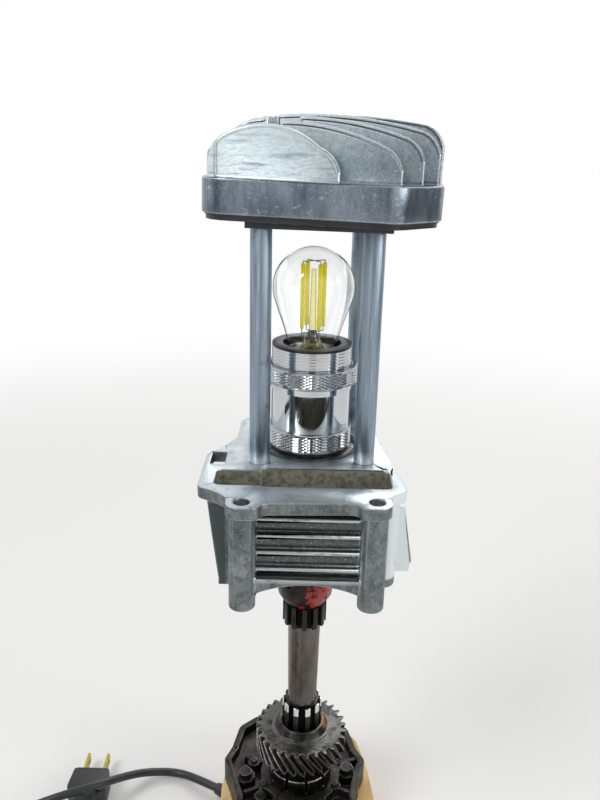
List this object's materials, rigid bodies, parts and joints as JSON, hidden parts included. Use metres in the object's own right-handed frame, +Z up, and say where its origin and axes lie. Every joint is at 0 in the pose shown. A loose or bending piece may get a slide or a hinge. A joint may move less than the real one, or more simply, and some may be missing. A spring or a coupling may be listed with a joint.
{
  "type": "table lamp",
  "caption": "Table lamp built from engine and gearbox parts: wooden foot, gear, shaft, cylinder, four-tube cage, bulb and finned cover.",
  "frame": {"origin": "on the surface the lamp stands on, below the axis of its upright shaft", "axes": "+Z up; -Y is the front, with the cylinder's chain tunnel; +X is to the viewer's right"},
  "size_m": [0.2689, 0.2156, 0.414],
  "materials": {
    "sawn_wood": "bare sawn face",
    "fibre": "pressed fibre",
    "zinc_screw": "zinc plated",
    "gearbox_paint": "worn satin black paint",
    "dark_steel": "oiled dark steel",
    "shaft_steel": "ground steel, browned",
    "red_paint": "worn red paint over dark steel",
    "black_plate": "satin black paint",
    "cast_alloy": "as cast, machined top",
    "liner_iron": "honed",
    "piston_alloy": "machined",
    "tube_steel": "dull drawn",
    "cover_alloy": "die cast, brushed fins",
    "gasket_fibre": "matt",
    "chrome_plate": "polished",
    "black_insulator": "moulded",
    "brass_sheet": "pressed",
    "cap_nickel": "nickel plated",
    "clear_glass": "clear",
    "stem_glass": "clear",
    "phosphor": "yellow phosphor coating",
    "nickel_wire": "drawn wire",
    "cord_sheath": "satin black",
    "lead_sheath": "brown insulation",
    "plug_black": "moulded"
  },
  "bodies": {
    "lamp": {"wood_foot": "sawn_wood", "pocket_cover": "fibre", "wood_screws": "zinc_screw", "cord_grommet": "cord_sheath", "clutch_plate": "gearbox_paint", "plate_studs": "gearbox_paint", "plate_rivets": "gearbox_paint", "slotted_hub": "dark_steel", "helical_gear": "dark_steel", "main_shaft": "shaft_steel", "coupling": "red_paint", "lamp_pipe": "zinc_screw", "pipe_nuts": "zinc_screw", "pipe_washers": "zinc_screw", "pipe_leads": "lead_sheath", "lower_plate": "black_plate", "cylinder_block": "cast_alloy", "cylinder_liner": "liner_iron", "guide_dowel": "zinc_screw", "piston": "piston_alloy", "piston_rings": "liner_iron", "long_studs": "zinc_screw", "stud_nuts": "zinc_screw", "stud_washers": "zinc_screw", "spacer_tube_front_left": "tube_steel", "spacer_tube_front_right": "tube_steel", "spacer_tube_rear_left": "tube_steel", "spacer_tube_rear_right": "tube_steel", "top_plate": "black_plate", "cover_floor": "black_plate", "cover_gasket": "gasket_fibre", "head_cover": "cover_alloy", "cover_screws": "zinc_screw", "holder_washer": "black_plate", "holder_foot": "chrome_plate", "holder_shell": "chrome_plate", "holder_insert": "black_insulator", "screw_shell": "brass_sheet", "centre_contact": "brass_sheet", "terminal_screws": "brass_sheet", "cord": "cord_sheath", "cord_coil": "cord_sheath", "coil_tie": "plug_black", "switch_base": "plug_black", "switch_top": "plug_black", "switch_pin": "zinc_screw", "plug_body": "plug_black", "plug_pins": "brass_sheet"},
    "bulb_tip": {"bulb_tip": "cap_nickel"},
    "bulb": {"bulb_glass": "clear_glass", "bulb_cap": "cap_nickel", "bulb_insulator": "black_insulator", "bulb_stem": "stem_glass", "filaments": "phosphor", "filament_wires": "nickel_wire"},
    "shade_ring": {"shade_ring": "chrome_plate"},
    "switch_rocker": {"switch_rocker": "plug_black"}
  },
  "joints": [
    {"name": "bulb_rise", "type": "slide", "parent": "lamp", "child": "bulb_tip", "axis": [0, 0, 1], "range_m": [0, 0.00907]},
    {"name": "bulb_turn", "type": "hinge", "parent": "bulb_tip", "child": "bulb", "pos_m": [0, 0, 0.3], "axis": [0, 0, 1], "range_deg": [0, 900]},
    {"name": "shade_ring_turn", "type": "hinge", "parent": "lamp", "child": "shade_ring", "pos_m": [0, 0, 0.2914], "axis": [0, 0, 1], "continuous": true},
    {"name": "switch_rock", "type": "hinge", "parent": "lamp", "child": "switch_rocker", "pos_m": [-0.198, -0.073, 0.01], "axis": [1, 0, 0], "range_deg": [-7, 7]}
  ],
  "couplings": [
    {"joint": "bulb_turn", "follows": "bulb_rise", "rad_per_m": 1731.4}
  ]
}
